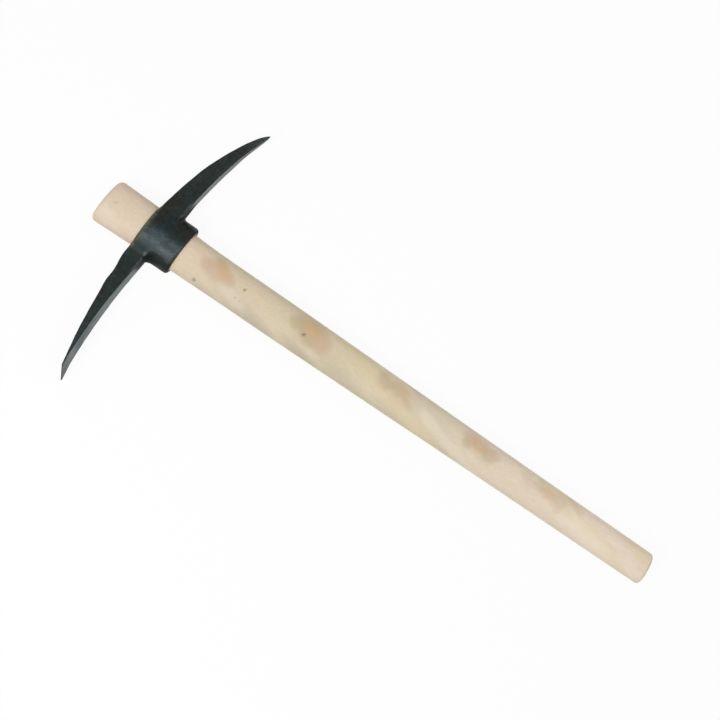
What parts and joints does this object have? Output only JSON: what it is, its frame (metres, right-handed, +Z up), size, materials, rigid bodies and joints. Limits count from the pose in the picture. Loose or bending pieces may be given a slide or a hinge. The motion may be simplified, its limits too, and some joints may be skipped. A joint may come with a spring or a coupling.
{
  "type": "pickaxe",
  "caption": "Old pickaxe: a forged head with a pointed arm, a chisel arm and an oval eye, slipped onto a tapered oval wooden handle that stands past the crown.",
  "frame": {"origin": "under the middle of the tool's box, on the surface that it lies on", "axes": "+X runs along the handle from its head end to its butt, +Y to the pointed arm and -Y to the chisel arm, +Z up through the depth of the tool as it lies on its side"},
  "size_m": [0.904, 0.4424, 0.054],
  "materials": {
    "forged_steel": "worn black forge coating, half matt, greyer on the inner faces",
    "ash_wood": "pale sanded hardwood, bare and dry, with a few brown stains"
  },
  "bodies": {
    "handle": {"handle": "ash_wood"},
    "head": {"pick_head": "forged_steel"}
  },
  "joints": [
    {"name": "head_slide", "type": "slide", "parent": "handle", "child": "head", "axis": [1, 0, 0], "range_m": [0, 0.86]}
  ]
}
